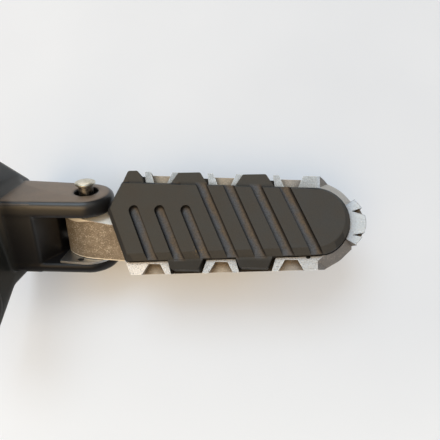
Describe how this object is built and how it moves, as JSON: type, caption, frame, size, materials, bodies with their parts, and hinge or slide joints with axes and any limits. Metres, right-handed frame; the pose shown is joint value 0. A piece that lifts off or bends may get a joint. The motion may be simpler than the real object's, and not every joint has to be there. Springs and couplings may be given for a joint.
{
  "type": "folding motorcycle foot peg",
  "caption": "Folding motorcycle foot peg with a toothed cast body, a grooved rubber tread pad and a clevis hanger on a leaned pin.",
  "frame": {"origin": "on the hanger's inboard face, midway between its two bolt sleeves", "axes": "+X outboard along the peg, +Y to the front of the motorcycle, +Z the tread's normal, up"},
  "size_m": [0.1632, 0.0773, 0.0868],
  "materials": {
    "gloss_black_paint": "gloss black paint on cast metal",
    "cast_aluminium": "bright as-cast, fine grained",
    "tread_rubber": "matt moulded rubber, dusty",
    "zinc_plated_steel": "zinc plated",
    "bright_plated_steel": "bright plated sheet",
    "plain_steel": "plain spring steel",
    "sintered_bronze": "sintered bronze bush"
  },
  "bodies": {
    "hanger": {"hanger_bracket": "gloss_black_paint", "hanger_collar_front": "zinc_plated_steel", "hanger_collar_rear": "zinc_plated_steel", "detent_plate": "bright_plated_steel", "plate_rivet": "bright_plated_steel"},
    "pin": {"clevis_pin": "zinc_plated_steel", "pin_washer": "zinc_plated_steel", "retaining_clip": "plain_steel"},
    "peg": {"peg_body": "cast_aluminium", "upper_bush": "sintered_bronze", "lower_bush": "sintered_bronze", "detent_spring": "plain_steel", "rubber_pad": "tread_rubber", "backing_plate": "plain_steel", "pad_screw_inner": "zinc_plated_steel", "pad_screw_outer": "zinc_plated_steel", "flat_washer_inner": "zinc_plated_steel", "flat_washer_outer": "zinc_plated_steel", "lock_washer_inner": "zinc_plated_steel", "lock_washer_outer": "zinc_plated_steel", "pad_nut_inner": "zinc_plated_steel", "pad_nut_outer": "zinc_plated_steel"},
    "ball": {"detent_ball": "plain_steel"}
  },
  "joints": [
    {"name": "peg_fold", "type": "hinge", "parent": "hanger", "child": "peg", "pos_m": [0.043, 0.017, -0.03325], "axis": [-0.0698, -0.7529, -0.6545], "range_deg": [0, 68]},
    {"name": "pin_float", "type": "slide", "parent": "hanger", "child": "pin", "axis": [-0.0698, -0.7529, -0.6545], "range_m": [0, 0.0065]},
    {"name": "ball_press", "type": "slide", "parent": "peg", "child": "ball", "axis": [0.0698, 0.7529, 0.6545], "range_m": [0, 0.0007]}
  ]
}
